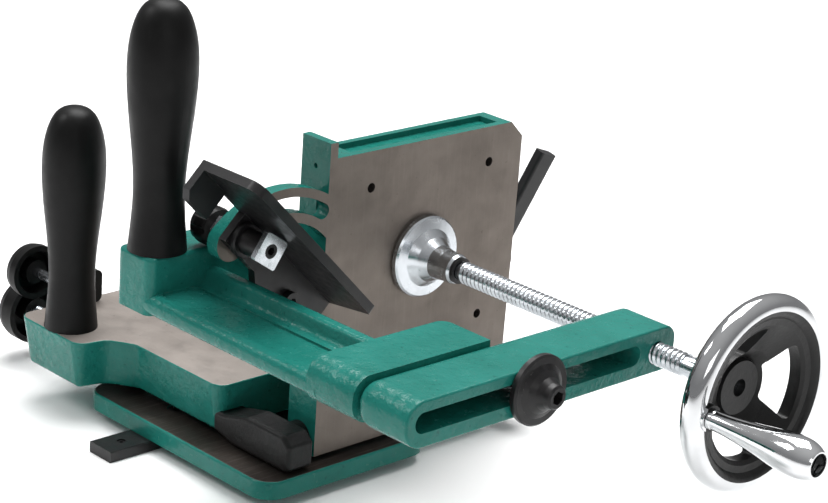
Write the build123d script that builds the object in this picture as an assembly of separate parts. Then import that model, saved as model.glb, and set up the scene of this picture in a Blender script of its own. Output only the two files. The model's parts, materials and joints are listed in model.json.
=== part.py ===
"""Table-saw tenoning jig: one STEP file for each separate piece.

Frame: the origin lies on the base's underside, on the guide bar's centreline at mid depth.
+X runs from the carriage towards the handwheel, +Y along the guide bar, +Z up. Millimetres.
"""
from build123d import *
import math
import os

os.makedirs("parts", exist_ok=True)

# ---- driving dimensions -------------------------------------------------------------
RUN_FIT = 0.05            # radial clearance of a turning or sliding pin
GAP = 0.3                 # gap between pieces that move past each other

# base and guide bar
BASE_X0 = -52.5
BASE_X1 = 106.5
BASE_Y0 = -70.0
BASE_Y1 = 48.0
BASE_T = 10.0
BASE_CORNER_R = 13.0
BAR_W = 19.05             # 3/4 in miter slot
BAR_T = 6.35
BAR_Y0 = -97.0
BAR_Y1 = 120.0
BAR_SCREWS_Y = (-45.0, 30.0)
WAY_X0 = -50.0
WAY_X1 = 30.0
WAY_Y = 25.0              # centre line of the sliding way
WAY_TOP_W = 40.0
WAY_FOOT_W = 32.0
WAY_H = 8.0

# carriage
CAR_X0 = -97.5
CAR_X1 = 49.5
CAR_Z0 = 14.0
CAR_TOP = 42.5
CAR_Y0 = -57.0
CAR_Y1 = 65.0
BEAM_X0 = 12.0
BEAM_Y1 = 130.0
LOBE_Y0 = -84.0
LOBE_X1 = -41.0
SHOULDER_X = -24.0
CAR_CORNER_R = 8.0
CAR_DRAFT = 9.0           # degrees

# lead screw and its knob
LEAD_Y = -44.0
LEAD_Z = 22.5
LEAD_R = 4.0
LEAD_NUT_X0 = -50.0
LEAD_NUT_X1 = -39.0
LEAD_POCKET_X0 = -91.5
LEAD_POCKET_X1 = -5.0
LEAD_KNOB_X = -153.0
LEAD_KNOB_R = 19.0

# slide lock knob on its lug
LOCK_Y = -54.5
LOCK_Z = 54.0
LOCK_KNOB_X = -134.5
LOCK_KNOB_R = 16.0
LUG_T = 8.0

# vertical backing plate
PLATE_X1 = 97.5           # machined face
PLATE_T = 22.0
PLATE_Y0 = -30.0
PLATE_Y1 = 110.0
PLATE_Z0 = 13.2
PLATE_TOP = 178.0
PLATE_CORNER = 9.0
TAB_W = 5.0
TAB_H = 8.5
BOARD_HOLE_R = 2.5
BOARD_HOLE_DY = 86.0
BOARD_HOLE_DZ = 88.0
BOARD_HOLE_Y = -0.5
BOARD_HOLE_Z = 70.0

# curved slot for the fence, centred on the fence pivot
FENCE_PIVOT_Y = -59.0
FENCE_PIVOT_Z = 110.0
SLOT_R = 48.4
SLOT_HALF = 4.2
BAND_IN = 39.0
BAND_OUT = 57.5
BAND_T = 8.0
STUD_ANGLE = 128.3        # seat of the fence stud in the slot at rest, from +Y

# fence, in its own frame: along the wall from the pivot, and off the pivot line
FENCE_ANGLE = 45.0
FENCE_TOP = -96.0
FENCE_LOW = 26.0
FENCE_T = 5.0
WALL_N = 20.0             # working face of the wall
WALL_X = 44.0
LOW_CUT = 11.0
STUD_R = 3.8
NUT_X1 = 25.5
NUT_T = 3.0
NUT_W = 15.5
NUT_TWIST = 11.0

# tilt
TILT_X = 85.5
TILT_Z = 21.5
PIN_R = 4.0
TRUNNION_X1 = 104.5
TRUNNION_TOP = 31.5
TRUNNION_T = 16.5
TRUNNION_HUB = 7.0
TRUNNION_HUB_R = 8.5
TILT_STUD_X = 50.0
TILT_STUD_Z = 78.0
TILT_STUD_R = 5.0
QUAD_T = 6.0

# clamp arm and clamp bar
ARM_Y0 = -128.0
ARM_Y1 = -84.0
ARM_Z0 = 107.0
FLOOR_Z = 118.0
RIDGE_Y0 = -94.0
END_R = 10.5
BLOCK_TOP = 126.4
BLOCK_X0 = 197.0
BLOCK_X1 = 229.2
BLOCK_Y1 = -41.0
ROOT_X0 = 50.5
ROOT_Y1 = 30.0
BOSS_X1 = 78.0
BOSS_TOP = 137.0
CBAR_X1 = 265.0
CBAR_Z0 = 103.2
CBAR_Y1 = 52.5
CBAR_SLOT_Y0 = -122.5
CBAR_SLOT_Y1 = 27.0
CBAR_SLOT_H = 10.4
CBAR_SLOT_Z = 115.6
LOCK_BOLT_Y = -46.5
LOCK_WASHER_R = 17.6
LOCK_WASHER_T = 4.6
GUIDE_SCREW_Y = -114.0

# clamp screw, pad, handwheel, crank
SCREW_Y = 39.5
SCREW_Z = 113.5
SCREW_R = 6.0
SCREW_X0 = 104.0
PAD_R = 22.5
PAD_T = 4.5
WHEEL_X = 325.5           # middle plane of the rim
WHEEL_R = 49.5
RIM_R = 6.2
HUB_X0 = 303.0
HUB_X1 = 317.0
CRANK_REACH = 39.0
CRANK_ANGLE = 181.0
CRANK_L = 62.0
SPOKE_R0 = 17.0
SPOKE_R1 = 33.0

# handles, both of one pattern
HANDLE_H = 128.0
PUSH_HANDLE_X = -67.0
PUSH_HANDLE_Y = -69.5
ARM_HANDLE_X = 65.5
ARM_HANDLE_Y = -114.0


# ---- helpers ------------------------------------------------------------------------
def block(x0, x1, y0, y1, z0, z1):
    """Box between two corners."""
    return Pos((x0 + x1) / 2, (y0 + y1) / 2, (z0 + z1) / 2) * Box(x1 - x0, y1 - y0, z1 - z0)


def rod_x(y, z, r, x0, x1):
    """Cylinder along X."""
    return Pos((x0 + x1) / 2, y, z) * Rot(0, 90, 0) * Cylinder(r, x1 - x0)


def rod_y(x, z, r, y0, y1):
    """Cylinder along Y."""
    return Pos(x, (y0 + y1) / 2, z) * Rot(90, 0, 0) * Cylinder(r, y1 - y0)


def rod_z(x, y, r, z0, z1):
    """Cylinder along Z."""
    return Pos(x, y, (z0 + z1) / 2) * Cylinder(r, z1 - z0)


def slab_z(points, z0, z1):
    """Prism with its outline in XY."""
    outline = make_face(Polyline(*points, close=True))
    return extrude(Pos(0, 0, z0) * outline, z1 - z0)


def slab_x(points, x0, x1):
    """Prism with its outline in YZ."""
    outline = Polyline(*[(0, y, z) for y, z in points], close=True)
    return Pos(x0, 0, 0) * extrude(make_face(outline), x1 - x0, dir=(1, 0, 0))


def slab_y(points, y0, y1):
    """Prism with its outline in XZ."""
    outline = Polyline(*[(x, 0, z) for x, z in points], close=True)
    return Pos(0, y0, 0) * extrude(make_face(outline), y1 - y0, dir=(0, 1, 0))


def soft(part, edges, radius):
    """Fillet that keeps the part as it was when the kernel refuses an edge."""
    for size in (radius, radius * 0.6, radius * 0.3):
        try:
            result = fillet(edges, size)
            if result.is_valid:
                return result
        except (ValueError, RuntimeError):
            continue
    return part


def top_edges(part, z, tolerance=0.05):
    """Edges that lie wholly in the plane at height z."""
    return part.edges().filter_by_position(Axis.Z, z - tolerance, z + tolerance)


def hex_socket_x(y, z, across, x_face, depth):
    """Hexagonal recess that opens on +X."""
    hexagon = RegularPolygon(across / 2, 6, major_radius=False)
    tool = extrude(hexagon, depth)
    return Pos(x_face - depth, y, z) * Rot(0, 90, 0) * tool


def revolve_x(points, y, z):
    """Body of revolution about an X axis; points are (x, radius)."""
    outline = Polyline(*[(x, 0, r) for x, r in points], close=True)
    return Pos(0, y, z) * revolve(make_face(outline), Axis.X, 360)


def arc_band(radius_in, radius_out, a0, a1):
    """Ring sector in the YZ plane about the fence pivot, from a0 to a1 degrees."""
    def at(radius, angle):
        a = math.radians(angle)
        return (0, FENCE_PIVOT_Y + radius * math.cos(a), FENCE_PIVOT_Z + radius * math.sin(a))

    mid = (a0 + a1) / 2
    outer = ThreePointArc(at(radius_out, a0), at(radius_out, mid), at(radius_out, a1))
    inner = ThreePointArc(at(radius_in, a1), at(radius_in, mid), at(radius_in, a0))
    first = Line(at(radius_out, a1), at(radius_in, a1))
    last = Line(at(radius_in, a0), at(radius_out, a0))
    return make_face(Wire([outer, first, inner, last]))


def on_slot(angle):
    """Point of the curved slot's centre line."""
    a = math.radians(angle)
    return (FENCE_PIVOT_Y + SLOT_R * math.cos(a), FENCE_PIVOT_Z + SLOT_R * math.sin(a))


# ---- base ---------------------------------------------------------------------------
def base_plate():
    plate = block(BASE_X0, BASE_X1, BASE_Y0, BASE_Y1, 0, BASE_T)
    plate = fillet(plate.edges().filter_by(Axis.Z), BASE_CORNER_R)
    plate = fillet(top_edges(plate, BASE_T), 1.6)
    foot, top = WAY_FOOT_W / 2, WAY_TOP_W / 2
    way = slab_x([(WAY_Y - foot, BASE_T - 1), (WAY_Y + foot, BASE_T - 1),
                  (WAY_Y + foot, BASE_T + 1), (WAY_Y + top, BASE_T + 4),
                  (WAY_Y + top, BASE_T + WAY_H), (WAY_Y - top, BASE_T + WAY_H),
                  (WAY_Y - top, BASE_T + 4), (WAY_Y - foot, BASE_T + 1)], WAY_X0, WAY_X1)
    plate += way
    for y in BAR_SCREWS_Y:
        plate -= rod_z(0, y, 3.3, -1, BASE_T + 1)
        plate -= rod_z(0, y, 5.6, BASE_T - 5.5, BASE_T + WAY_H + 1)
    return plate


def guide_bar():
    bar = block(-BAR_W / 2, BAR_W / 2, BAR_Y0, BAR_Y1, -BAR_T, 0)
    bar = chamfer(bar.edges().filter_by(Axis.Y), 0.5)
    for y in BAR_SCREWS_Y:
        bar -= rod_z(0, y, 3.0, -BAR_T - 1, 1)
    for y in (BAR_Y0 + 14, BAR_Y1 - 14):
        bar -= rod_z(0, y, 2.5, -BAR_T - 1, 1)
    return bar


def guide_bar_screw(y):
    screw = rod_z(0, y, 3.0, -BAR_T + 0.6, BASE_T - 5.5)
    screw += rod_z(0, y, 5.0, BASE_T - 5.5, BASE_T - 0.5)
    screw -= Pos(0, y, BASE_T - 3.5) * extrude(RegularPolygon(2.5, 6, major_radius=False), 4)
    return screw


def bar_set_screw(y):
    screw = rod_z(0, y, 2.5, -BAR_T + 0.8, -0.9)
    screw -= Pos(0, y, -3.0) * extrude(RegularPolygon(1.25, 6, major_radius=False), 3)
    return screw


def lead_nut():
    nut = block(LEAD_NUT_X0, LEAD_NUT_X1, LEAD_Y - 6, LEAD_Y + 6, BASE_T, LEAD_Z + 6)
    nut = fillet(nut.edges().filter_by(Axis.X).group_by(Axis.Z)[-1], 3)
    nut -= rod_x(LEAD_Y, LEAD_Z, LEAD_R + RUN_FIT, LEAD_NUT_X0 - 1, LEAD_NUT_X1 + 1)
    return nut


# ---- carriage -----------------------------------------------------------------------
def carriage_blank():
    """The carriage's outer form, with moulding draft from its top down."""
    outline = [(CAR_X0, LOBE_Y0), (LOBE_X1, LOBE_Y0), (LOBE_X1 + 3, CAR_Y0 - 9),
               (SHOULDER_X, CAR_Y0), (CAR_X1, CAR_Y0), (CAR_X1, BEAM_Y1), (BEAM_X0, BEAM_Y1),
               (BEAM_X0, CAR_Y1), (CAR_X0, CAR_Y1)]
    face = make_face(Polyline(*outline, close=True))
    face = fillet(face.vertices(), CAR_CORNER_R)
    body = extrude(Pos(0, 0, CAR_TOP) * face, CAR_TOP - CAR_Z0, dir=(0, 0, -1), taper=CAR_DRAFT)
    body = soft(body, top_edges(body, CAR_Z0), 3.0)
    return soft(body, top_edges(body, CAR_TOP), 0.8)


def carriage():
    body = carriage_blank()
    foot, top = WAY_FOOT_W / 2 + GAP, WAY_TOP_W / 2 + GAP
    channel = slab_x([(WAY_Y - foot, CAR_Z0 - 1), (WAY_Y + foot, CAR_Z0 - 1),
                      (WAY_Y + foot, BASE_T + 1 - GAP), (WAY_Y + top, BASE_T + 4 - GAP),
                      (WAY_Y + top, BASE_T + WAY_H + GAP), (WAY_Y - top, BASE_T + WAY_H + GAP),
                      (WAY_Y - top, BASE_T + 4 - GAP), (WAY_Y - foot, BASE_T + 1 - GAP)],
                     CAR_X0 - 1, CAR_X1 + 1)
    body -= channel & block(CAR_X0 - 1, CAR_X1 + 1, 0, 60, CAR_Z0 - 0.01, CAR_TOP)
    body -= block(LEAD_POCKET_X0, LEAD_POCKET_X1, LEAD_Y - 7, LEAD_Y + 7, CAR_Z0 - 1, LEAD_Z + 7.5)
    return body - rod_x(LEAD_Y, LEAD_Z, LEAD_R + RUN_FIT, CAR_X0 - 1, LEAD_POCKET_X0 + 1)


def trunnion(y0, y1, hub_y):
    """Hinge block on the carriage's end; its hub reaches to hub_y, beside the plate."""
    body = slab_y([(CAR_X1 - 8, CAR_Z0 + 1), (CAR_X1 + 8, BASE_T + 1.2), (TRUNNION_X1 - 3, BASE_T + 1.2),
                   (TRUNNION_X1, BASE_T + 4), (TRUNNION_X1, TRUNNION_TOP - 5), (TRUNNION_X1 - 6, TRUNNION_TOP),
                   (CAR_X1 + 20, TRUNNION_TOP), (CAR_X1, TRUNNION_TOP - 5),
                   (CAR_X1 - 8, TRUNNION_TOP - 5)], y0, y1)
    body = soft(body, body.edges().filter_by(Axis.Y), 3.0)
    body = soft(body, body.faces().sort_by(Axis.Y)[0].edges(), 2.5)
    body = soft(body, body.faces().sort_by(Axis.Y)[-1].edges(), 1.0)
    body += rod_y(TILT_X, TILT_Z, TRUNNION_HUB_R, min(y0 + 4, hub_y), max(y1 - 4, hub_y))
    body -= carriage_blank()
    pin = tilt_pin_span(y0, y1, hub_y)
    return body - rod_y(TILT_X, TILT_Z, PIN_R, *pin)


def tilt_pin_span(y0, y1, hub_y):
    """The pin's bore is blind: it stops short of the block's outer face."""
    if hub_y >= y1:
        return (y0 + 3, hub_y + 1)
    return (hub_y - 1, y1 - 3)


def tilt_pin(y0, y1):
    return rod_y(TILT_X, TILT_Z, PIN_R, y0, y1)


def tilt_quadrant():
    """Slotted link that the tilt lever locks against."""
    y0 = BEAM_Y1
    plate = slab_y([(20, CAR_Z0 + 4), (CAR_X1 - 6, CAR_Z0 + 4), (CAR_X1 - 6, 50), (64, 72),
                    (62, 90), (44, 94), (26, 82), (18, 60)], y0, y0 + QUAD_T)
    plate = soft(plate, plate.edges().filter_by(Axis.Y), 6)
    foot = block(24, CAR_X1 - 10, y0 - 8, y0 + 1, CAR_Z0 + 6, CAR_TOP - 3)
    plate += foot - carriage_blank()
    rest = math.degrees(math.atan2(TILT_STUD_Z - TILT_Z, TILT_STUD_X - TILT_X))
    radius = math.hypot(TILT_STUD_X - TILT_X, TILT_STUD_Z - TILT_Z)
    half = TILT_STUD_R + 0.4
    for step in range(0, 35):
        a = math.radians(rest - 1.0 + step * 0.5)
        x = TILT_X + radius * math.cos(a)
        z = TILT_Z + radius * math.sin(a)
        plate -= rod_y(x, z, half, y0 - 1, y0 + QUAD_T + 1)
    return plate


def handle(x, y, z):
    """Tall teardrop handle standing at (x, y, z)."""
    side = Spline((14.6, 0, 4), (12.9, 0, 32), (15.3, 0, 62), (17.6, 0, 92), (14.2, 0, 117),
                  (0, 0, HANDLE_H), tangents=[(-0.1, 0, 1), (-1, 0, 0)])
    flare = Line((15.0, 0, 0), (14.6, 0, 4))
    foot = Line((0, 0, 0), (15.0, 0, 0))
    axis = Line((0, 0, HANDLE_H), (0, 0, 0))
    body = revolve(make_face(Wire([foot, flare, side, axis])), Axis.Z, 360)
    return Pos(x, y, z) * body


def lock_lug():
    lug = block(CAR_X0 + 1, CAR_X0 + 1 + LUG_T, LOCK_Y - 8, LOCK_Y + 22, CAR_TOP, LOCK_Z + 8)
    lug = soft(lug, lug.edges().filter_by(Axis.X), 4)
    lug -= rod_x(LOCK_Y, LOCK_Z, 3.0 + RUN_FIT, CAR_X0 - 1, CAR_X0 + 2 + LUG_T)
    return lug


def cup_knob(x0, r, depth, y, z, shaft_r):
    """Knob with a rounded back at x0 and a hollow front that opens on +X."""
    shell = revolve_x([(x0, 0), (x0, r * 0.62), (x0 + 1.5, r * 0.8), (x0 + 4, r * 0.94),
                       (x0 + 8, r), (x0 + depth, r), (x0 + depth, r - 3.2),
                       (x0 + 5, r - 4.5), (x0 + 5, shaft_r + 4), (x0 + depth - 1, shaft_r + 4),
                       (x0 + depth - 1, 0)], y, z)
    shell -= rod_x(y, z, shaft_r, x0 + 4, x0 + depth + 1)
    return shell


def lead_screw():
    screw = rod_x(LEAD_Y, LEAD_Z, LEAD_R, LEAD_KNOB_X + 4, LEAD_POCKET_X1 - 1)
    screw += rod_x(LEAD_Y, LEAD_Z, 6.2, CAR_X0 - 4, CAR_X0 - GAP)
    screw += rod_x(LEAD_Y, LEAD_Z, 6.2, LEAD_POCKET_X0 + GAP, LEAD_POCKET_X0 + 2)
    return screw


def lock_stud():
    stud = rod_x(LOCK_Y, LOCK_Z, 3.0, LOCK_KNOB_X + 4, CAR_X0 + 3 + LUG_T)
    stud += rod_x(LOCK_Y, LOCK_Z, 5.0, CAR_X0 - 3, CAR_X0 + 1 - GAP)
    return stud


# ---- backing plate ------------------------------------------------------------------
def backing_plate():
    x0 = PLATE_X1 - PLATE_T
    body = slab_x([(PLATE_Y0, PLATE_Z0), (PLATE_Y1 - 4, PLATE_Z0), (PLATE_Y1 - 1.5, PLATE_Z0 + 30),
                   (PLATE_Y1, PLATE_TOP - 30), (PLATE_Y1, PLATE_TOP - PLATE_CORNER),
                   (PLATE_Y1 - PLATE_CORNER, PLATE_TOP), (PLATE_Y0, PLATE_TOP)], x0, PLATE_X1)
    body += block(x0, PLATE_X1, PLATE_Y0, PLATE_Y0 + TAB_W, PLATE_TOP - 1, PLATE_TOP + TAB_H)
    # recess in the top edge
    body -= block(x0 + 4, PLATE_X1 - 4.5, PLATE_Y0 + 18, PLATE_Y1 - 16, PLATE_TOP - 3, PLATE_TOP + 1)
    # hollows in the back, between the ribs
    body -= block(x0 - 1, x0 + 11, 42, 86, 40, 160)
    body -= block(x0 - 1, x0 + 11, -20, 34, 40, 98)
    body -= block(x0 - 1, x0 + 11, -20, 34, 142, 166)
    # curved band and the fence pivot's lug
    band = extrude(arc_band(BAND_IN, BAND_OUT, 40, 134), BAND_T, dir=(1, 0, 0))
    lug = slab_x([(FENCE_PIVOT_Y, FENCE_PIVOT_Z - 9), (PLATE_Y0 + 4, FENCE_PIVOT_Z - 9),
                  (PLATE_Y0 + 4, FENCE_PIVOT_Z + 9), (FENCE_PIVOT_Y, FENCE_PIVOT_Z + 9)], 0, BAND_T)
    lug += rod_x(FENCE_PIVOT_Y, FENCE_PIVOT_Z, 9, 0, BAND_T)
    y, z = on_slot(134)
    band += rod_x(y, z, (BAND_OUT - BAND_IN) / 2, 0, BAND_T)
    body += Pos(PLATE_X1 - BAND_T, 0, 0) * (band + lug)
    slot = extrude(arc_band(SLOT_R - SLOT_HALF, SLOT_R + SLOT_HALF, 58, 131), BAND_T + 2, dir=(1, 0, 0))
    for angle in (58, 131):
        y, z = on_slot(angle)
        slot += rod_x(y, z, SLOT_HALF, 0, BAND_T + 2)
    body -= Pos(PLATE_X1 - BAND_T - 1, 0, 0) * slot
    # boss for the tilt stud
    body += block(TILT_STUD_X - 9, x0, PLATE_Y1 - 20, PLATE_Y1 - 1.2, TILT_STUD_Z - 10, TILT_STUD_Z + 10)
    body -= rod_y(TILT_STUD_X, TILT_STUD_Z, TILT_STUD_R, PLATE_Y1 - 16, PLATE_Y1 + 1)
    # bores: board screws, tilt pins, arm bolts, fence pivot, stop screw
    for y in (BOARD_HOLE_Y, BOARD_HOLE_Y + BOARD_HOLE_DY):
        for z in (BOARD_HOLE_Z, BOARD_HOLE_Z + BOARD_HOLE_DZ):
            body -= rod_x(y, z, BOARD_HOLE_R, x0 - 1, PLATE_X1 + 1)
    body -= rod_y(TILT_X, TILT_Z, PIN_R + RUN_FIT, PLATE_Y0 - 1, PLATE_Y0 + 18.5)
    body -= rod_y(TILT_X, TILT_Z, PIN_R + RUN_FIT, PLATE_Y1 - 18.5, PLATE_Y1 + 1)
    for y in (-8.0, 18.0):
        body -= rod_x(y, 119, 4.0, x0 - 1, PLATE_X1 - 6)
    body -= rod_x(FENCE_PIVOT_Y, FENCE_PIVOT_Z, 3.0, PLATE_X1 - BAND_T - 1, PLATE_X1 + 1)
    body -= rod_y(PLATE_X1 - 11, 172, 1.4, PLATE_Y0 - 1, PLATE_Y0 + 6)
    return body


# ---- clamp arm and bar --------------------------------------------------------------
def clamp_arm():
    """L-shaped casting: root behind the plate, handle boss, long tray-like side, end block."""
    root = block(ROOT_X0, PLATE_X1 - PLATE_T, ARM_Y0 + 4, ROOT_Y1, ARM_Z0, BOSS_TOP - 6)
    boss = block(ROOT_X0, BOSS_X1, ARM_Y0, -78, ARM_Z0, BOSS_TOP)
    boss = soft(boss, boss.edges().filter_by(Axis.Z).group_by(Axis.Y)[0], 5)
    boss = soft(boss, top_edges(boss, BOSS_TOP), 2)
    side = slab_x([(ARM_Y0, ARM_Z0), (ARM_Y0, FLOOR_Z), (RIDGE_Y0, FLOOR_Z), (RIDGE_Y0 + 2.5, BLOCK_TOP),
                   (ARM_Y1, BLOCK_TOP), (ARM_Y1, ARM_Z0)], BOSS_X1 - 8, BLOCK_X0 + 6)
    near = side.edges().filter_by(Axis.X).group_by(Axis.Y)[0]
    side = soft(side, near, 5.0)
    ridge = [e for e in side.edges().filter_by(Axis.X) if e.center().Z > BLOCK_TOP - 0.1]
    side = soft(side, ridge, 3.0)
    valley = [e for e in side.edges().filter_by(Axis.X)
              if abs(e.center().Y - RIDGE_Y0) < 0.1 and abs(e.center().Z - FLOOR_Z) < 0.1]
    side = soft(side, valley, 4.0)
    end = slab_x([(ARM_Y0, CBAR_Z0), (ARM_Y0, BLOCK_TOP), (BLOCK_Y1, BLOCK_TOP), (BLOCK_Y1, CBAR_Z0)],
                 BLOCK_X0, BLOCK_X1)
    end = soft(end, end.edges().filter_by(Axis.X).group_by(Axis.Y)[0], END_R)
    end = soft(end, end.edges().filter_by(Axis.Z).group_by(Axis.X)[0].sort_by(Axis.Y)[-1:], 6)
    body = root + boss + side + end
    slope = [e for e in body.edges().filter_by(Axis.Y)
             if abs(e.center().X - BLOCK_X0) < 0.1 and abs(e.center().Z - FLOOR_Z) < 0.1]
    body = soft(body, slope, 6)
    tray = block(BOSS_X1 + 0.5, BLOCK_X0 - 7, ARM_Y0 + 6, RIDGE_Y0 - 4.5, FLOOR_Z - 1.2, FLOOR_Z + 2)
    body -= soft(tray, tray.edges().filter_by(Axis.Z), 4)
    body -= rod_x(-8.0, 119, 4.2, ROOT_X0 - 1, PLATE_X1)
    body -= rod_x(18.0, 119, 4.2, ROOT_X0 - 1, PLATE_X1)
    body -= rod_x(LOCK_BOLT_Y, CBAR_SLOT_Z, 4.0, BLOCK_X1 - 22, BLOCK_X1 + 1)
    return body - rod_x(GUIDE_SCREW_Y, CBAR_SLOT_Z, 3.0, BLOCK_X1 - 22, BLOCK_X1 + 1)


def arm_bolt(y):
    bolt = rod_x(y, 119, 4.0, ROOT_X0, PLATE_X1 - 8)
    bolt += rod_x(y, 119, 6.5, ROOT_X0 - 8, ROOT_X0)
    bolt -= Pos(ROOT_X0 - 8, y, 119) * Rot(0, 90, 0) * extrude(RegularPolygon(3, 6, major_radius=False), 4)
    return bolt


def clamp_bar():
    x0 = BLOCK_X1 + GAP
    bar = block(x0, CBAR_X1, ARM_Y0, CBAR_Y1, CBAR_Z0, BLOCK_TOP)
    bar = fillet(bar.edges().filter_by(Axis.X).group_by(Axis.Y)[0], END_R)
    far = bar.edges().filter_by(Axis.Z).group_by(Axis.Y)[-1].sort_by(Axis.X)[0]
    bar = soft(bar, [far], 6)
    bar = soft(bar, bar.edges().filter_by(Axis.X).group_by(Axis.Y)[-1], 8)
    bar = soft(bar, top_edges(bar, BLOCK_TOP), 1.2)
    r = CBAR_SLOT_H / 2
    slot = block(x0 - 1, CBAR_X1 + 1, CBAR_SLOT_Y0 + r, CBAR_SLOT_Y1 - r,
                 CBAR_SLOT_Z - r, CBAR_SLOT_Z + r)
    slot += rod_x(CBAR_SLOT_Y0 + r, CBAR_SLOT_Z, r, x0 - 1, CBAR_X1 + 1)
    slot += rod_x(CBAR_SLOT_Y1 - r, CBAR_SLOT_Z, r, x0 - 1, CBAR_X1 + 1)
    bar -= slot
    bar -= rod_x(SCREW_Y, SCREW_Z, SCREW_R + RUN_FIT, x0 - 1, CBAR_X1 + 1)
    return bar


def lock_bolt():
    """Bolt through the bar's slot; its flared head bears on the washer."""
    x0 = CBAR_X1 + LOCK_WASHER_T
    bolt = rod_x(LOCK_BOLT_Y, CBAR_SLOT_Z, 4.0, BLOCK_X1 - 20, x0 + 2)
    head = revolve_x([(x0, 0), (x0, 13.5), (x0 + 1.4, 10.8), (x0 + 3.8, 8.2), (x0 + 6.8, 6.6),
                      (x0 + 9.4, 6.0), (x0 + 10.4, 5.0), (x0 + 10.4, 0)], LOCK_BOLT_Y, CBAR_SLOT_Z)
    return bolt + head - hex_socket_x(LOCK_BOLT_Y, CBAR_SLOT_Z, 6, x0 + 10.4, 5)


def lock_washer():
    x0 = CBAR_X1 + GAP
    x1 = CBAR_X1 + LOCK_WASHER_T
    return revolve_x([(x0, 4.3), (x0, LOCK_WASHER_R - 0.8), (x0 + 0.8, LOCK_WASHER_R),
                      (x1 - 1, LOCK_WASHER_R), (x1, LOCK_WASHER_R - 1), (x1, 4.3)],
                     LOCK_BOLT_Y, CBAR_SLOT_Z)


def guide_screw():
    screw = rod_x(GUIDE_SCREW_Y, CBAR_SLOT_Z, 3.0, BLOCK_X1 - 20, BLOCK_X1 + 14)
    screw += rod_x(GUIDE_SCREW_Y, CBAR_SLOT_Z, 4.6, BLOCK_X1, BLOCK_X1 + 24)
    return screw - hex_socket_x(GUIDE_SCREW_Y, CBAR_SLOT_Z, 4, BLOCK_X1 + 24, 4)


# ---- clamp screw group --------------------------------------------------------------
def clamp_pad():
    x0 = PLATE_X1 + 0.1
    pad = revolve_x([(x0, 0), (x0, PAD_R - 1), (x0 + 1, PAD_R), (x0 + PAD_T - 1, PAD_R),
                     (x0 + PAD_T, PAD_R - 1), (x0 + PAD_T + 1.2, 16), (x0 + PAD_T + 5, 12.4),
                     (x0 + 14, 9.4), (x0 + 20, 8.4), (x0 + 27, 8.2), (x0 + 28.5, 7.4),
                     (x0 + 28.5, 0)], SCREW_Y, SCREW_Z)
    pad -= rod_x(SCREW_Y, SCREW_Z, 4.8 + RUN_FIT, x0 + 6, x0 + 30)
    return pad


def retaining_ring():
    x0 = PLATE_X1 + 0.1 + 28.5
    return revolve_x([(x0, 5.2), (x0, 7.2), (x0 + 1.6, 7.2), (x0 + 1.6, 5.2)], SCREW_Y, SCREW_Z)


def clamp_screw():
    tip = rod_x(SCREW_Y, SCREW_Z, 4.8, SCREW_X0, PLATE_X1 + 34)
    body = rod_x(SCREW_Y, SCREW_Z, SCREW_R, PLATE_X1 + 33, 288)
    tail = rod_x(SCREW_Y, SCREW_Z, 5.6, 288, HUB_X1 - 4)
    return tip + body + tail


def handwheel():
    """Plated rim on a dished black web with three openings."""
    rim = Pos(WHEEL_X, SCREW_Y, SCREW_Z) * Rot(0, 90, 0) * Torus(WHEEL_R - RIM_R, RIM_R)
    web = revolve_x([(HUB_X0, 0), (HUB_X0, 11), (HUB_X0 + 5, 13), (WHEEL_X - 11, 22),
                     (WHEEL_X - 5, 32), (WHEEL_X - 4, 41), (WHEEL_X + 4.2, 41), (WHEEL_X + 3, 35),
                     (WHEEL_X + 0.5, 31), (WHEEL_X - 6, 20), (HUB_X1 - 2, 14.5), (HUB_X1, 13.5),
                     (HUB_X1, 0)], SCREW_Y, SCREW_Z)
    for k in range(3):
        web -= wheel_opening(120 * k)
    wheel = rim + web
    y, z = crank_seat()
    wheel += rod_x(y, z, 6.5, WHEEL_X - 3, WHEEL_X + RIM_R + 1)
    wheel -= rod_x(SCREW_Y, SCREW_Z, 5.6, HUB_X0 - 1, HUB_X1 - 4)
    wheel -= rod_x(SCREW_Y, SCREW_Z, 4.4, HUB_X1 - 5, HUB_X1 + 1)
    return wheel - rod_x(y, z, 3.0, WHEEL_X - 5, WHEEL_X + RIM_R + 3)


def wheel_opening(middle):
    """Window through the web: two straight sides, and arcs round the hub and inside the rim."""
    def at(radius, angle):
        a = math.radians(middle + angle)
        return (HUB_X0 - 5, SCREW_Y + radius * math.cos(a), SCREW_Z + radius * math.sin(a))

    outer = ThreePointArc(at(SPOKE_R1, -38), at(SPOKE_R1, 0), at(SPOKE_R1, 38))
    inner = ThreePointArc(at(SPOKE_R0, 30), at(SPOKE_R0, 0), at(SPOKE_R0, -30))
    sides = [Line(at(SPOKE_R1, 38), at(SPOKE_R0, 30)), Line(at(SPOKE_R0, -30), at(SPOKE_R1, -38))]
    window = extrude(make_face(Wire([outer, sides[0], inner, sides[1]])), 60, dir=(1, 0, 0))
    return soft(window, window.edges().filter_by(Axis.X), 2.5)


def crank_seat():
    a = math.radians(CRANK_ANGLE)
    return (SCREW_Y + CRANK_REACH * math.cos(a), SCREW_Z + CRANK_REACH * math.sin(a))


def crank_spindle():
    """Pin the crank handle spins on; its slotted head sits deep in the handle's end."""
    y, z = crank_seat()
    x0 = WHEEL_X + RIM_R + 1
    pin = rod_x(y, z, 3.0, WHEEL_X - 3, x0 + CRANK_L - 9)
    pin += rod_x(y, z, 4.8, x0 + CRANK_L - 9.5, x0 + CRANK_L - 6)
    return pin - block(x0 + CRANK_L - 7.5, x0 + CRANK_L, y - 6, y + 6, z - 0.7, z + 0.7)


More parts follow.
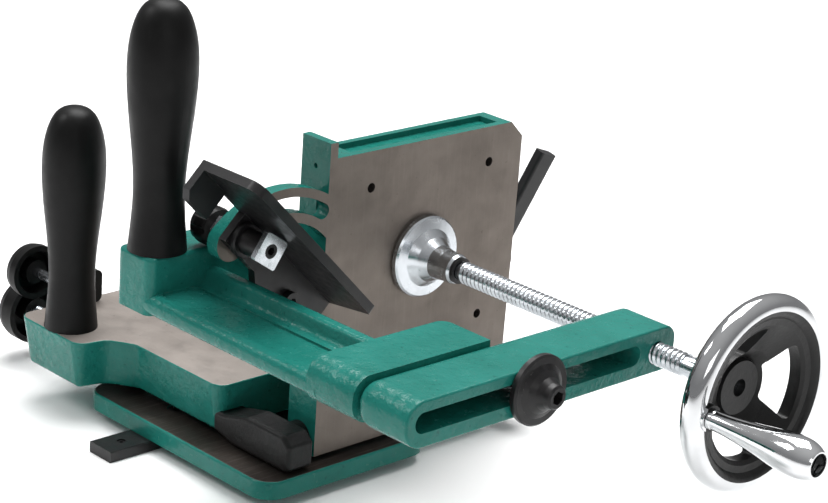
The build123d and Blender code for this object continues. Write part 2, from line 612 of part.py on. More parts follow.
def crank_handle():
    y, z = crank_seat()
    x0 = WHEEL_X + RIM_R + 1 + GAP
    end = x0 + CRANK_L - 0.6
    side = Spline((x0 + 2.5, 0, 4.7), (x0 + 15, 0, 5.6), (x0 + 31, 0, 7.7), (x0 + 47, 0, 9.8),
                  (end - 6, 0, 9.3), (end - 0.8, 0, 7.0))
    collar = Polyline((x0, 0, 3.2), (x0, 0, 5.0), (x0 + 1.8, 0, 5.0), (x0 + 2.5, 0, 4.7))
    front = Polyline((end - 0.8, 0, 7.0), (end, 0, 6.3), (end, 0, 5.6), (end - 10, 0, 5.1),
                     (end - 10, 0, 3.0 + RUN_FIT), (x0, 0, 3.0 + RUN_FIT), (x0, 0, 3.2))
    face = make_face(Wire([*collar.edges(), side, *front.edges()]))
    return Pos(0, y, z) * revolve(face, Axis.X, 360)


# ---- fence --------------------------------------------------------------------------
def fence_frame(shape):
    """Turn a shape drawn with its pivot at the origin, +Y along the wall, into its rest pose."""
    return Pos(PLATE_X1 + GAP, FENCE_PIVOT_Y, FENCE_PIVOT_Z) * Rot(-FENCE_ANGLE, 0, 0) * shape


def stud_in_fence():
    """The stud's place in the fence's own frame: along the wall, and off the pivot line."""
    a = math.radians(STUD_ANGLE + FENCE_ANGLE)
    return (SLOT_R * math.cos(a), SLOT_R * math.sin(a))


def fence():
    """Bent steel angle: a flange on the plate's face and a wall that the board rests against."""
    inner = WALL_N - FENCE_T
    wall = slab_z([(0, FENCE_TOP), (WALL_X, FENCE_TOP), (WALL_X, FENCE_LOW - LOW_CUT),
                   (FENCE_T, FENCE_LOW), (0, FENCE_LOW)], inner, WALL_N)
    outer = wall.edges().filter_by(Axis.Z).group_by(Axis.X)[-1].sort_by(Axis.Y)
    wall = fillet(outer[0], 7)
    outer = wall.edges().filter_by(Axis.Z).group_by(Axis.X)[-1].sort_by(Axis.Y)
    wall = soft(wall, outer[-1], 2)
    tab = slab_x([(FENCE_TOP, WALL_N - 1), (FENCE_TOP, 3), (FENCE_TOP + 4, -1),
                  (FENCE_TOP + 20, -1), (FENCE_TOP + 20, WALL_N - 1)], 0, FENCE_T)
    flange = slab_x([(-58, WALL_N - 1), (-58, -2), (-30, -2), (-18, -11), (14, -11),
                     (FENCE_LOW, 2), (FENCE_LOW, WALL_N - 1)], 0, FENCE_T)
    body = wall + tab + flange
    u, n = stud_in_fence()
    body -= rod_x(u, n, STUD_R + 0.2, -1, FENCE_T + 1)
    body -= rod_x(0, 0, 3.2, -1, FENCE_T + 1)
    return fence_frame(body)


def fence_stud():
    """Set screw along the lock's axis, its socket at the front."""
    u, n = stud_in_fence()
    x0 = -BAND_T - GAP - 16
    return fence_frame(rod_x(u, n, STUD_R, x0, NUT_X1) - hex_socket_x(u, n, 4, NUT_X1, 5))


def fence_washer():
    u, n = stud_in_fence()
    washer = revolve_x([(FENCE_T, STUD_R + 0.3), (FENCE_T, 9.1), (FENCE_T + 2.5, 9.1),
                        (FENCE_T + 3, 8.6), (FENCE_T + 3, STUD_R + 0.3)], u, n)
    return fence_frame(washer)


def fence_sleeve():
    u, n = stud_in_fence()
    x0 = FENCE_T + 3
    sleeve = rod_x(u, n, 6.6, x0, NUT_X1 - NUT_T)
    return fence_frame(sleeve - rod_x(u, n, STUD_R + 0.3, x0 - 1, NUT_X1))


def fence_square_nut():
    u, n = stud_in_fence()
    plate = block(NUT_X1 - NUT_T, NUT_X1, -NUT_W / 2, NUT_W / 2, -NUT_W / 2, NUT_W / 2)
    plate = chamfer(plate.edges().filter_by(Axis.X), 0.8)
    plate = Pos(0, u, n) * Rot(NUT_TWIST, 0, 0) * plate
    return fence_frame(plate - rod_x(u, n, STUD_R, 0, NUT_X1 + 1))


def fence_nut():
    u, n = stud_in_fence()
    hexagon = extrude(RegularPolygon(7, 6, major_radius=False), 4)
    nut = Pos(-BAND_T - GAP * 2 - 4, u, n) * Rot(0, 90, 0) * hexagon
    return fence_frame(nut - rod_x(u, n, STUD_R, -20, 0))


def fence_knob():
    """Fluted lock knob behind the curved slot."""
    u, n = stud_in_fence()
    x1 = -BAND_T - GAP * 3 - 4
    x0 = x1 - 15
    knob = revolve_x([(x0, 0), (x0, 8.2), (x0 + 2, 9.8), (x0 + 5, 10.3), (x0 + 11, 10.3),
                      (x0 + 13, 9.6), (x1, 7), (x1, 0)], u, n)
    for k in range(8):
        a = math.radians(45 * k)
        knob -= rod_x(u + 12.2 * math.cos(a), n + 12.2 * math.sin(a), 2.8, x0 - 1, x1 + 1)
    return fence_frame(knob - rod_x(u, n, STUD_R + RUN_FIT, x0 + 3, x1 + 1))


def fence_pivot_screw():
    screw = rod_x(0, 0, 3.0, -BAND_T - GAP - 1, FENCE_T + 0.5)
    screw += rod_x(0, 0, 5.0, FENCE_T + GAP, FENCE_T + 4.5)
    return fence_frame(screw - hex_socket_x(0, 0, 4, FENCE_T + 4.5, 3))


# ---- tilt lock ----------------------------------------------------------------------
def tilt_stud():
    return rod_y(TILT_STUD_X, TILT_STUD_Z, TILT_STUD_R, PLATE_Y1 - 15.5, BEAM_Y1 + QUAD_T + 12)


def tilt_spacer():
    sleeve = rod_y(TILT_STUD_X, TILT_STUD_Z, 8.5, PLATE_Y1 - 1.2, BEAM_Y1 - GAP)
    return sleeve - rod_y(TILT_STUD_X, TILT_STUD_Z, TILT_STUD_R + RUN_FIT, PLATE_Y1 - 2, BEAM_Y1)


def tilt_lever():
    y0 = BEAM_Y1 + QUAD_T + GAP
    hub = rod_y(TILT_STUD_X, TILT_STUD_Z, 9.5, y0, y0 + 14)
    reach = Vector(14.5, 21, 60)
    start = Vector(TILT_STUD_X, y0 + 7, TILT_STUD_Z)
    frame = Plane(origin=start, x_dir=(0, reach.Z, -reach.Y), z_dir=reach)
    arm = extrude(frame * Pos(0, 0, 4) * RectangleRounded(13, 7, 2), reach.length)
    lever = hub + arm
    lever -= rod_y(TILT_STUD_X, TILT_STUD_Z, TILT_STUD_R + RUN_FIT, y0 - 1, y0 + 12)
    return lever


# ---- export -------------------------------------------------------------------------
def save(name, part):
    shape = Compound(children=[part]) if isinstance(part, list) else part
    export_step(shape, f"parts/{name}.step")


def build():
    front_hub = PLATE_Y0 - GAP
    rear_hub = PLATE_Y1 + GAP
    front = (front_hub - TRUNNION_HUB - TRUNNION_T, front_hub - TRUNNION_HUB, front_hub)
    rear = (rear_hub + 1, BEAM_Y1 - GAP, rear_hub)
    pieces = {
        "base_plate": base_plate(),
        "guide_bar": guide_bar(),
        "guide_bar_screw_front": guide_bar_screw(BAR_SCREWS_Y[0]),
        "guide_bar_screw_rear": guide_bar_screw(BAR_SCREWS_Y[1]),
        "bar_set_screw_front": bar_set_screw(BAR_Y0 + 14),
        "bar_set_screw_rear": bar_set_screw(BAR_Y1 - 14),
        "lead_nut": lead_nut(),
        "carriage": carriage(),
        "push_handle": handle(PUSH_HANDLE_X, PUSH_HANDLE_Y, CAR_TOP),
        "lock_lug": lock_lug(),
        "trunnion_front": trunnion(*front),
        "trunnion_rear": trunnion(*rear),
        "tilt_pin_front": tilt_pin(front[0] + 3, PLATE_Y0 + 18),
        "tilt_pin_rear": tilt_pin(PLATE_Y1 - 18, rear[1] - 3),
        "tilt_quadrant": tilt_quadrant(),
        "lead_screw": lead_screw(),
        "fine_adjust_knob": cup_knob(LEAD_KNOB_X, LEAD_KNOB_R, 17, LEAD_Y, LEAD_Z, LEAD_R),
        "lock_stud": lock_stud(),
        "slide_lock_knob": cup_knob(LOCK_KNOB_X, LOCK_KNOB_R, 13, LOCK_Y, LOCK_Z, 3.0),
        "backing_plate": backing_plate(),
        "clamp_arm": clamp_arm(),
        "arm_handle": handle(ARM_HANDLE_X, ARM_HANDLE_Y, BOSS_TOP),
        "arm_bolt_front": arm_bolt(-8.0),
        "arm_bolt_rear": arm_bolt(18.0),
        "lock_bolt": lock_bolt(),
        "lock_washer": lock_washer(),
        "guide_screw": guide_screw(),
        "fence_pivot_screw": fence_pivot_screw(),
        "tilt_stud": tilt_stud(),
        "tilt_spacer": tilt_spacer(),
        "clamp_bar": clamp_bar(),
        "clamp_pad": clamp_pad(),
        "retaining_ring": retaining_ring(),
        "clamp_screw": clamp_screw(),
        "handwheel": handwheel(),
        "crank_spindle": crank_spindle(),
        "crank_handle": crank_handle(),
        "fence": fence(),
        "fence_stud": fence_stud(),
        "fence_washer": fence_washer(),
        "fence_sleeve": fence_sleeve(),
        "fence_square_nut": fence_square_nut(),
        "fence_nut": fence_nut(),
        "fence_knob": fence_knob(),
        "tilt_lever": tilt_lever(),
    }
    for name, part in pieces.items():
        save(name, part)


if __name__ == "__main__":
    build()
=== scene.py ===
"""Tenoning jig: materials, threads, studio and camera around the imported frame. Metres."""
import math

import bmesh
import bpy
from mathutils import Matrix, Vector
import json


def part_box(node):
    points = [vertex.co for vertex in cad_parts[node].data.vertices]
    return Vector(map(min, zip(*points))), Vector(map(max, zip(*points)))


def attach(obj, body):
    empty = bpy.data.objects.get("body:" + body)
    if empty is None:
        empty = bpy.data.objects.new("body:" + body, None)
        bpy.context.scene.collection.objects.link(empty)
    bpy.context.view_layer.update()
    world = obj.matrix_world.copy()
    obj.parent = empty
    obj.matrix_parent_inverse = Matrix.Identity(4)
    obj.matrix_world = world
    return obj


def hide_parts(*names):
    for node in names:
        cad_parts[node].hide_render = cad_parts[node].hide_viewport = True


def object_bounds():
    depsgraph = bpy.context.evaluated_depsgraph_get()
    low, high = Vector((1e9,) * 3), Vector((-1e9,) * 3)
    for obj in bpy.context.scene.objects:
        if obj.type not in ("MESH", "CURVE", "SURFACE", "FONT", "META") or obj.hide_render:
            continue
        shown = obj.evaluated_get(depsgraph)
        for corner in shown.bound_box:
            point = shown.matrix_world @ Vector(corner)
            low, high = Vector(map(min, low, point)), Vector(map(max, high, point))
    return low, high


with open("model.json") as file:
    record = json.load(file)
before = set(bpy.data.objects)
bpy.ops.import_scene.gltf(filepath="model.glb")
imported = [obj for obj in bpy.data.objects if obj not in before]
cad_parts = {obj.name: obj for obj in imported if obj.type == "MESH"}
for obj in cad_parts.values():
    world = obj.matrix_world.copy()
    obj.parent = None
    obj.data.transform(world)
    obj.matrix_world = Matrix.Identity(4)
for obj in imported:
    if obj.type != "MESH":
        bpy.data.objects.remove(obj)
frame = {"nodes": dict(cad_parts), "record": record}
cad_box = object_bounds()
nodes = frame["nodes"]

MM = 0.001

# camera, as an angle round the object, a distance and the point it aims at
AZIMUTH = 45.49
ELEVATION = 19.44
ROLL = 4.04
LENS_MM = 104.5
DISTANCE = 1.15
AIM = Vector((0.1846, -0.0520, 0.1595))
SENSOR_MM = 36.0
CLIP_END = 20.0


# ---- shader helpers -------------------------------------------------------------------
FLAT_FACING = 0.93        # how squarely a face looks along an axis to count as its flat face
BORE_MARGIN = 1.06        # a bore's mask against the bore's radius
WEAR_START = 0.06         # how far the rounded normal turns away where wear starts and is full
WEAR_FULL = 0.3


class Shader:
    """A node material under construction."""

    def __init__(self, name, roughness=0.5, metallic=0.0):
        self.mat = bpy.data.materials.new(name)
        self.mat.use_nodes = True
        self.tree = self.mat.node_tree
        self.bsdf = self.tree.nodes["Principled BSDF"]
        self.bsdf.inputs["Roughness"].default_value = roughness
        self.bsdf.inputs["Metallic"].default_value = metallic
        self.coords = self.new("ShaderNodeTexCoord").outputs["Object"]
        self.normal = self.new("ShaderNodeNewGeometry").outputs["Normal"]

    def new(self, kind, **settings):
        node = self.tree.nodes.new(kind)
        for key, value in settings.items():
            setattr(node, key, value)
        return node

    def link(self, source, target):
        self.tree.links.new(source, target)

    def stretched(self, scale):
        """Object coordinates stretched by scale along each axis."""
        mapping = self.new("ShaderNodeMapping")
        mapping.inputs["Scale"].default_value = scale
        self.link(self.coords, mapping.inputs["Vector"])
        return mapping.outputs["Vector"]

    def noise(self, scale, detail=3.0, rough=0.5, vector=None):
        """Noise value; scale is features per metre."""
        node = self.new("ShaderNodeTexNoise")
        node.inputs["Scale"].default_value = scale
        node.inputs["Detail"].default_value = detail
        node.inputs["Roughness"].default_value = rough
        self.link(vector or self.coords, node.inputs["Vector"])
        return node.outputs["Fac"]

    def ramp(self, value, low, high, out_low=0.0, out_high=1.0):
        """Value mapped from low..high to out_low..out_high, clamped."""
        node = self.new("ShaderNodeMapRange")
        for key, number in (("From Min", low), ("From Max", high),
                            ("To Min", out_low), ("To Max", out_high)):
            node.inputs[key].default_value = number
        self.link(value, node.inputs["Value"])
        return node.outputs["Result"]

    def math(self, operation, a, b):
        node = self.new("ShaderNodeMath", operation=operation)
        for socket, value in zip(node.inputs, (a, b)):
            if isinstance(value, (int, float)):
                socket.default_value = value
            else:
                self.link(value, socket)
        return node.outputs["Value"]

    def mix(self, factor, a, b):
        """Colour a where factor is 0, colour b where it is 1."""
        node = self.new("ShaderNodeMix", data_type="RGBA")
        for socket, value in ((node.inputs[0], factor), (node.inputs[6], a), (node.inputs[7], b)):
            if hasattr(value, "links"):
                self.link(value, socket)
            else:
                socket.default_value = (*value, 1.0)
        return node.outputs[2]

    def bump(self, height, distance, strength=1.0, under=None):
        node = self.new("ShaderNodeBump")
        node.inputs["Strength"].default_value = strength
        node.inputs["Distance"].default_value = distance
        self.link(height, node.inputs["Height"])
        if under is not None:
            self.link(under, node.inputs["Normal"])
        return node.outputs["Normal"]

    def split(self, vector):
        node = self.new("ShaderNodeSeparateXYZ")
        self.link(vector, node.inputs[0])
        return node.outputs

    def face_mask(self, axis, place):
        """1 on the flat faces that look along +axis at or beyond that place in metres."""
        index = "XYZ".index(axis)
        facing = self.math("GREATER_THAN", self.split(self.normal_object())[index], FLAT_FACING)
        beyond = self.math("GREATER_THAN", self.split(self.coords)[index], place)
        return self.math("MULTIPLY", facing, beyond)

    def axis_distance(self, y, z):
        """Distance from the line along X at that y and z."""
        axes = self.split(self.coords)
        dy = self.math("SUBTRACT", axes[1], y)
        dz = self.math("SUBTRACT", axes[2], z)
        return self.math("SQRT", self.math("ADD", self.math("MULTIPLY", dy, dy),
                                           self.math("MULTIPLY", dz, dz)), 0.0)

    def bore_mask(self, y, z, radius):
        """1 on the wall of a bore along X at that y and z."""
        return self.math("LESS_THAN", self.axis_distance(y, z), radius * BORE_MARGIN)

    def mix_float(self, factor, a, b):
        """Number a where factor is 0, number b where it is 1."""
        node = self.new("ShaderNodeMix", data_type="FLOAT")
        for socket, value in ((node.inputs[0], factor), (node.inputs[2], a), (node.inputs[3], b)):
            self.link(value, socket)
        return node.outputs[0]

    def mix_vector(self, factor, a, b):
        """Normal a where factor is 0, normal b where it is 1."""
        node = self.new("ShaderNodeMix", data_type="VECTOR")
        for socket, value in ((node.inputs[0], factor), (node.inputs[4], a), (node.inputs[5], b)):
            self.link(value, socket)
        return node.outputs[1]

    def normal_object(self):
        """Surface normal in the object's own axes, so that it follows the part's motion."""
        return self.tree.nodes["Texture Coordinate"].outputs["Normal"]

    def edge_wear(self, radius):
        """1 on worn edges, broken up by noise."""
        bevel = self.new("ShaderNodeBevel", samples=4)
        bevel.inputs["Radius"].default_value = radius
        dot = self.new("ShaderNodeVectorMath", operation="DOT_PRODUCT")
        self.link(bevel.outputs["Normal"], dot.inputs[0])
        self.link(self.normal, dot.inputs[1])
        edge = self.ramp(dot.outputs["Value"], 1.0 - WEAR_START, 1.0 - WEAR_FULL)
        broken = self.ramp(self.noise(260, 4, 0.7), 0.52, 0.66)
        return self.math("MULTIPLY", edge, broken)

    def finish(self, colour, roughness=None, normal=None, metallic=None):
        for name, value in (("Base Color", colour), ("Roughness", roughness),
                            ("Normal", normal), ("Metallic", metallic)):
            if value is not None:
                self.link(value, self.bsdf.inputs[name])
        return self.mat


# ---- materials ------------------------------------------------------------------------
GREEN = (0.008, 0.130, 0.104)
GREEN_LIGHT = (0.016, 0.175, 0.145)
GREEN_DARK = (0.003, 0.070, 0.056)
GREEN_WORN = (0.075, 0.115, 0.10)
SCRATCH = (0.50, 0.46, 0.42)
IRON_PIT = (0.10, 0.08, 0.065)
# painted shade: near-black colour laid on the walls of the bores
BORE_SHADE = (0.035, 0.030, 0.027)
SKIN = 0.1 * MM           # how far below a milled face its mask starts

# bare faces: light and dark colour, cutter marks along each axis, how far the marks show
CARRIAGE_IRON = ((0.335, 0.300, 0.275), (0.265, 0.235, 0.212), (30, 900, 30), 0.08)
# painted shade: the base's bare top gets far darker iron colours than the carriage's, as the shade
# under the carriage
BASE_IRON_SHADED = ((0.075, 0.062, 0.054), (0.035, 0.028, 0.025), (900, 30, 30), 0.14)
PLATE_IRON = ((0.185, 0.160, 0.140), (0.135, 0.115, 0.100), (30, 700, 30), 0.04)


def casting(name, milled=None, iron=None, holes=()):
    """Enamel over sand-cast iron. milled is the (axis, place) of the bare face, iron its colours,
    cutter marks and scratching, and holes lists (y, z, radius) of bores along X whose walls are painted
    dark as shade."""
    s = Shader(name)
    colour = s.mix(s.ramp(s.noise(18, 4, 0.6), 0.35, 0.65), GREEN, GREEN_LIGHT)
    colour = s.mix(s.ramp(s.noise(330, 2, 0.5), 0.66, 0.76, 0.0, 0.6), colour, GREEN_DARK)
    colour = s.mix(s.edge_wear(0.8 * MM), colour, GREEN_WORN)
    gloss = s.ramp(s.noise(120, 3, 0.6), 0.3, 0.7, 0.14, 0.30)
    sand = s.bump(s.noise(190, 4, 0.55), 1.3 * MM, 0.6)
    peel = s.bump(s.noise(620, 2, 0.5), 0.35 * MM, 0.4, sand)
    s.bsdf.inputs["Specular IOR Level"].default_value = 0.2
    if not milled:
        return s.finish(colour, gloss, peel)
    bare, bare_dark, grain, scratched = iron
    mask = s.face_mask(*milled)
    lines = s.noise(1.0, 3, 0.6, s.stretched(grain))
    metal = s.mix(s.ramp(s.noise(22, 5, 0.6), 0.3, 0.7), bare_dark, bare)
    metal = s.mix(s.ramp(lines, 0.52, 0.74, 0.0, scratched), metal, SCRATCH)
    metal = s.mix(s.ramp(s.noise(420, 2, 0.5), 0.68, 0.76, 0.0, 0.5), metal, IRON_PIT)
    colour = s.mix(mask, colour, metal)
    # painted shade: each bore's wall and a thin ring round its mouth are coloured near black
    for y, z, radius in holes:
        colour = s.mix(s.bore_mask(y, z, radius), colour, BORE_SHADE)
    metal_rough = s.ramp(s.noise(70, 4, 0.7), 0.3, 0.7, 0.40, 0.58)
    rough = s.mix_float(mask, gloss, metal_rough)
    cutter = s.bump(lines, 0.05 * MM, 0.2)
    normal = s.mix_vector(mask, peel, cutter)
    return s.finish(colour, rough, normal, s.math("MULTIPLY", mask, 0.75))


def moulded_plastic():
    """Satin black phenolic with a faint moulded grain and dust."""
    s = Shader("black_plastic")
    s.bsdf.inputs["Specular IOR Level"].default_value = 0.16
    colour = s.mix(s.ramp(s.noise(40, 4, 0.6), 0.35, 0.7), (0.003, 0.003, 0.003), (0.006, 0.006, 0.006))
    dust = s.ramp(s.noise(1500, 2, 0.5), 0.72, 0.78, 0.0, 0.3)
    colour = s.mix(dust, colour, (0.04, 0.04, 0.04))
    rough = s.ramp(s.noise(90, 3, 0.6), 0.3, 0.7, 0.36, 0.50)
    return s.finish(colour, rough, s.bump(s.noise(1300, 2, 0.5), 0.06 * MM, 0.5))


def black_oxide():
    """Blackened steel: dark, a little brown, with bright rubbed edges."""
    s = Shader("black_oxide")
    s.bsdf.inputs["Specular IOR Level"].default_value = 0.3
    colour = s.mix(s.ramp(s.noise(60, 5, 0.65), 0.3, 0.7), (0.006, 0.006, 0.007), (0.015, 0.014, 0.014))
    colour = s.mix(s.edge_wear(0.5 * MM), colour, (0.14, 0.135, 0.13))
    rough = s.ramp(s.noise(200, 4, 0.65), 0.3, 0.7, 0.28, 0.46)
    return s.finish(colour, rough, s.bump(s.noise(700, 3, 0.6), 0.05 * MM, 0.4))


def black_enamel():
    """Satin black paint over a rough casting."""
    s = Shader("black_enamel")
    s.bsdf.inputs["Specular IOR Level"].default_value = 0.25
    colour = s.mix(s.ramp(s.noise(50, 4, 0.6), 0.3, 0.7), (0.005, 0.005, 0.005), (0.011, 0.011, 0.011))
    colour = s.mix(s.edge_wear(0.8 * MM), colour, (0.07, 0.068, 0.065))
    rough = s.ramp(s.noise(140, 3, 0.6), 0.3, 0.7, 0.32, 0.5)
    return s.finish(colour, rough, s.bump(s.noise(260, 5, 0.6), 0.8 * MM, 0.45))


def zinc_steel():
    """Turned, zinc-plated steel with fine tool marks and a cold cloudy tint."""
    s = Shader("zinc_steel", metallic=1.0)
    colour = s.mix(s.ramp(s.noise(55, 4, 0.6), 0.3, 0.7), (0.48, 0.505, 0.53), (0.63, 0.66, 0.69))
    turned = s.noise(1.0, 3, 0.6, s.stretched((900, 60, 60)))
    rough = s.ramp(s.noise(160, 4, 0.65), 0.3, 0.7, 0.16, 0.30)
    return s.finish(colour, rough, s.bump(turned, 0.03 * MM, 0.25))


def chrome():
    """Bright plating with faint polishing haze."""
    s = Shader("crank_chrome", metallic=1.0)
    colour = s.mix(s.ramp(s.noise(45, 3, 0.5), 0.35, 0.65), (0.60, 0.61, 0.62), (0.72, 0.73, 0.74))
    rough = s.ramp(s.noise(150, 4, 0.6), 0.35, 0.7, 0.05, 0.13)
    return s.finish(colour, rough, s.bump(s.noise(90, 2, 0.5), 0.06 * MM, 0.35))


def wheel_finish(centre_y, centre_z, rim_inner):
    """Black enamel web and hub inside the plated rim."""
    s = Shader("wheel_finish")
    s.bsdf.inputs["Specular IOR Level"].default_value = 0.25
    beyond = s.math("GREATER_THAN", s.axis_distance(centre_y, centre_z), rim_inner)
    black = s.mix(s.ramp(s.noise(50, 4, 0.6), 0.3, 0.7), (0.004, 0.004, 0.004), (0.009, 0.009, 0.009))
    plate = s.mix(s.ramp(s.noise(45, 3, 0.5), 0.35, 0.65), (0.58, 0.59, 0.60), (0.70, 0.71, 0.72))
    colour = s.mix(beyond, black, plate)
    rough = s.ramp(beyond, 0.0, 1.0, 0.36, 0.06)
    cast = s.bump(s.noise(300, 4, 0.6), 0.5 * MM, 0.4)
    polished = s.bump(s.noise(90, 2, 0.5), 0.06 * MM, 0.35)
    return s.finish(colour, rough, s.mix_vector(beyond, cast, polished), beyond)


def floor_finish():
    """Pale matt paper."""
    s = Shader("floor_paper", roughness=0.9)
    colour = s.mix(s.ramp(s.noise(3, 3, 0.5), 0.3, 0.7), (0.93, 0.93, 0.93), (0.96, 0.96, 0.96))
    return s.finish(colour)


def dress(names, material):
    """Give CAD nodes a material."""
    for name in names:
        for slot in nodes[name].material_slots:
            slot.material = material


# ---- studio ---------------------------------------------------------------------------
FLOOR_SIZE = 12.0
HORIZON = (0.50, 0.50, 0.51, 1)
ZENITH = (1.0, 1.0, 1.0, 1)
SKY_STRENGTH = 0.55
SKY_FROM, SKY_TO = 0.2, 0.95      # heights of the view direction between which the sky brightens
SOFTBOXES = (("top", (-0.2, 0.35, 1.7), (1.3, 1.3), 46),
             ("key", (-0.9, -1.1, 1.6), (0.7, 0.7), 12),
             ("fill", (1.8, -0.9, 0.9), (0.9, 0.6), 3))


def camera_axes():
    """Forward, right and up of the camera, with its roll."""
    a = math.radians(AZIMUTH)
    e = math.radians(ELEVATION)
    r = math.radians(ROLL)
    forward = Vector((-math.sin(a) * math.cos(e), math.cos(a) * math.cos(e), -math.sin(e)))
    level = forward.cross(Vector((0, 0, 1))).normalized()
    upright = level.cross(forward)
    return (forward, level * math.cos(r) + upright * math.sin(r),
            upright * math.cos(r) - level * math.sin(r))


def add_camera():
    forward, right, up = camera_axes()
    data = bpy.data.cameras.new("camera")
    data.lens = LENS_MM
    data.sensor_width = SENSOR_MM
    data.clip_end = CLIP_END
    obj = bpy.data.objects.new("camera", data)
    bpy.context.scene.collection.objects.link(obj)
    turn = Matrix((right, up, -forward)).transposed()
    obj.matrix_world = Matrix.Translation(AIM - forward * DISTANCE) @ turn.to_4x4()
    bpy.context.scene.camera = obj


def softbox(name, place, size, power):
    """Area light at a place, aimed at the object."""
    data = bpy.data.lights.new(name, "AREA")
    data.shape = "RECTANGLE"
    data.size, data.size_y = size
    data.energy = power
    obj = bpy.data.objects.new(name, data)
    bpy.context.scene.collection.objects.link(obj)
    obj.location = place
    obj.rotation_euler = (AIM - Vector(place)).to_track_quat("-Z", "Y").to_euler()


def add_floor():
    bpy.ops.mesh.primitive_plane_add(size=FLOOR_SIZE, location=(0.1, 0.0, cad_box[0][2]))
    floor = bpy.context.object
    floor.name = "floor"
    floor.data.materials.append(floor_finish())


def add_sky():
    """Pale sky that brightens from the horizon up."""
    world = bpy.data.worlds.new("studio")
    bpy.context.scene.world = world
    world.use_nodes = True
    tree = world.node_tree
    background = tree.nodes["Background"]
    coords = tree.nodes.new("ShaderNodeTexCoord")
    split = tree.nodes.new("ShaderNodeSeparateXYZ")
    ramp = tree.nodes.new("ShaderNodeValToRGB")
    low, high = ramp.color_ramp.elements
    low.position, low.color = SKY_FROM, HORIZON
    high.position, high.color = SKY_TO, ZENITH
    tree.links.new(coords.outputs["Generated"], split.inputs[0])
    tree.links.new(split.outputs[2], ramp.inputs[0])
    tree.links.new(ramp.outputs[0], background.inputs["Color"])
    background.inputs["Strength"].default_value = SKY_STRENGTH


# ---- threads --------------------------------------------------------------------------
RING = 32                 # corners round a turned piece
STEPS = 8                 # rings in one turn of a thread
FLANK = 2.6               # steepness of the thread's flanks
CREST = 0.15              # half of the crest's flat, as a share of the depth
SHARP = math.radians(50)  # edges that turn more than this stay sharp

CLAMP_PITCH = 3 * MM
CLAMP_DEPTH = 0.95 * MM
CLAMP_TIP_L = 26.5 * MM
CLAMP_TIP_R = 4.8 * MM
CLAMP_TAIL_L = 25 * MM
CLAMP_TAIL_R = 5.6 * MM
RELIEF_L = 4 * MM         # undercut between the thread and the smooth tail
RELIEF_R = 5.2 * MM

LEAD_PITCH = 1.5875 * MM
LEAD_DEPTH = 0.5 * MM
LEAD_R = 4 * MM
LEAD_HUB_L = 14 * MM      # plain end inside the knob
COLLAR_OUT = (-4 * MM, -0.3 * MM)     # the two collars' ends, from the carriage's side
COLLAR_IN = (6.3 * MM, 8 * MM)


def rod_rings(spans, pitch):
    """(x, radius, threaded) of each ring of corners along the rod."""
    rings = []
    for x0, x1, radius, threaded in spans:
        count = max(2, round((x1 - x0) / pitch * STEPS) + 1) if threaded else 2
        for i in range(count):
            rings.append((x0 + (x1 - x0) * i / (count - 1), radius, threaded))
    return rings


def thread_cut(x, turn, pitch, depth):
    """How deep the thread is at x, a part of a turn round the rod."""
    phase = (x / pitch - turn) % 1.0
    return depth * min(1.0, max(0.0, FLANK * abs(phase - 0.5) - CREST))


def turned_rod(name, node, spans, pitch, depth, material):
    """Threaded rod along X in place of a CAD node. spans lists (x0, x1, radius, threaded)."""
    y, z = rod_axis(node)
    bm = bmesh.new()
    loops = []
    for x, radius, threaded in rod_rings(spans, pitch):
        loop = []
        for k in range(RING):
            turn = k / RING
            reach = radius - (thread_cut(x, turn, pitch, depth) if threaded else 0.0)
            a = 2 * math.pi * turn
            loop.append(bm.verts.new((x, y + reach * math.cos(a), z + reach * math.sin(a))))
        loops.append(loop)
    for low, high in zip(loops, loops[1:]):
        for k in range(RING):
            bm.faces.new((low[k - 1], low[k], high[k], high[k - 1]))
    bm.faces.new(loops[0])
    bm.faces.new(list(reversed(loops[-1])))
    bmesh.ops.recalc_face_normals(bm, faces=bm.faces)
    for face in bm.faces:
        face.smooth = len(face.verts) == 4
    for edge in bm.edges:
        edge.smooth = edge.calc_face_angle(0.0) < SHARP
    mesh = bpy.data.meshes.new(name)
    bm.to_mesh(mesh)
    bm.free()
    mesh.materials.append(material)
    piece = bpy.data.objects.new(name, mesh)
    bpy.context.scene.collection.objects.link(piece)
    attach(piece, node)
    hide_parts(node)


def rod_axis(node):
    low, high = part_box(node)
    return (low[1] + high[1]) / 2, (low[2] + high[2]) / 2


def add_clamp_screw_thread(material):
    low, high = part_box("clamp_screw")
    radius = (high[2] - low[2]) / 2
    tip = low[0] + CLAMP_TIP_L
    tail = high[0] - CLAMP_TAIL_L
    turned_rod("clamp_screw_thread", "clamp_screw",
               [(low[0], tip, CLAMP_TIP_R, False), (tip, tail - RELIEF_L, radius, True),
                (tail - RELIEF_L, tail, RELIEF_R, False), (tail, high[0], CLAMP_TAIL_R, False)],
               CLAMP_PITCH, CLAMP_DEPTH, material)


def add_lead_screw_thread(material):
    low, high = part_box("lead_screw")
    collar_r = (high[2] - low[2]) / 2
    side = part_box("carriage")[0][0]
    hub = low[0] + LEAD_HUB_L
    out0, out1 = (side + step for step in COLLAR_OUT)
    in0, in1 = (side + step for step in COLLAR_IN)
    turned_rod("lead_screw_thread", "lead_screw",
               [(low[0], hub, LEAD_R, False), (hub, out0, LEAD_R, True),
                (out0, out1, collar_r, False), (out1, in0, LEAD_R, False),
                (in0, in1, collar_r, False), (in1, high[0], LEAD_R, True)],
               LEAD_PITCH, LEAD_DEPTH, material)


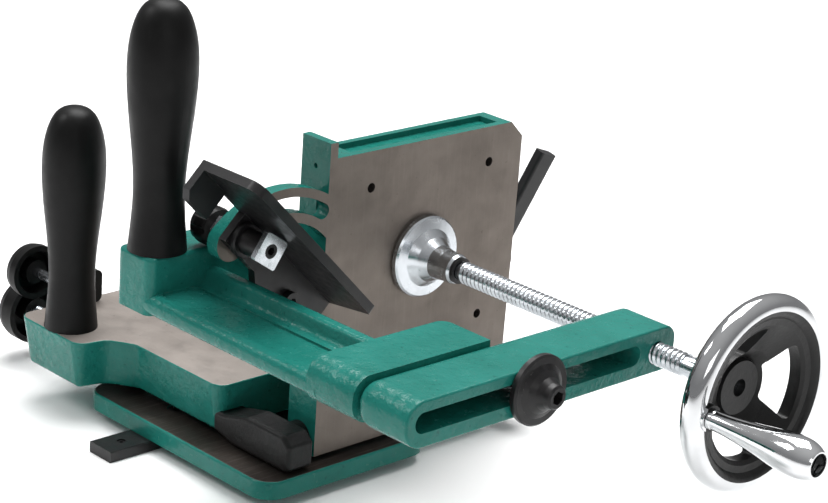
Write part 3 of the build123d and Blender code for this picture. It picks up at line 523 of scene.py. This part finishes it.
# ---- dress the frame ------------------------------------------------------------------
base_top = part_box("lead_nut")[0][2]
carriage_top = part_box("carriage")[1][2]
plate_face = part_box("backing_plate")[1][0]
RIM_SHOWN = 7.0 * MM      # width of the plated band, in from the wheel's edge

mount = next(m for m in frame["record"]["mounts"] if m["name"] == "board_holes")
half_y = mount["dims"]["spacing_x_mm"] * MM / 2
half_z = mount["dims"]["spacing_y_mm"] * MM / 2
board_holes = [(mount["pos_m"][1] + side * half_y, mount["pos_m"][2] + level * half_z,
                mount["dims"]["hole_r_mm"] * MM) for side in (-1, 1) for level in (-1, 1)]

dress(["carriage"], casting("carriage_casting", ("Z", carriage_top - SKIN), CARRIAGE_IRON))
# the base's bare top is darkened as painted shade
dress(["base_plate"], casting("base_casting", ("Z", base_top - SKIN), BASE_IRON_SHADED))
dress(["backing_plate"],
      casting("plate_casting", ("X", plate_face - SKIN), PLATE_IRON, board_holes))
dress(["clamp_arm", "clamp_bar", "tilt_quadrant"], casting("arm_casting"))
dress(["trunnion_front", "trunnion_rear", "lock_lug"], black_enamel())
dress(["guide_bar", "guide_bar_screw_front", "guide_bar_screw_rear", "bar_set_screw_front",
       "bar_set_screw_rear", "arm_bolt_front", "arm_bolt_rear", "lock_bolt", "lock_washer",
       "guide_screw", "fence_pivot_screw", "fence", "fence_washer", "fence_sleeve", "fence_stud",
       "retaining_ring", "tilt_lever", "crank_spindle"], black_oxide())
zinc = zinc_steel()
dress(["lead_screw", "lock_stud", "tilt_pin_front", "tilt_pin_rear", "clamp_screw", "clamp_pad",
       "fence_square_nut", "fence_nut", "tilt_stud", "tilt_spacer", "lead_nut"], zinc)
dress(["push_handle", "arm_handle", "fine_adjust_knob", "slide_lock_knob", "fence_knob"],
      moulded_plastic())
dress(["crank_handle"], chrome())
wheel_low, wheel_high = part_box("handwheel")
wheel_radius = (wheel_high[2] - wheel_low[2]) / 2
dress(["handwheel"], wheel_finish((wheel_low[1] + wheel_high[1]) / 2,
                                  (wheel_low[2] + wheel_high[2]) / 2, wheel_radius - RIM_SHOWN))
add_clamp_screw_thread(zinc)
add_lead_screw_thread(zinc)

add_camera()
add_floor()
add_sky()
for box in SOFTBOXES:
    softbox(*box)
bpy.context.scene.view_settings.view_transform = "Standard"
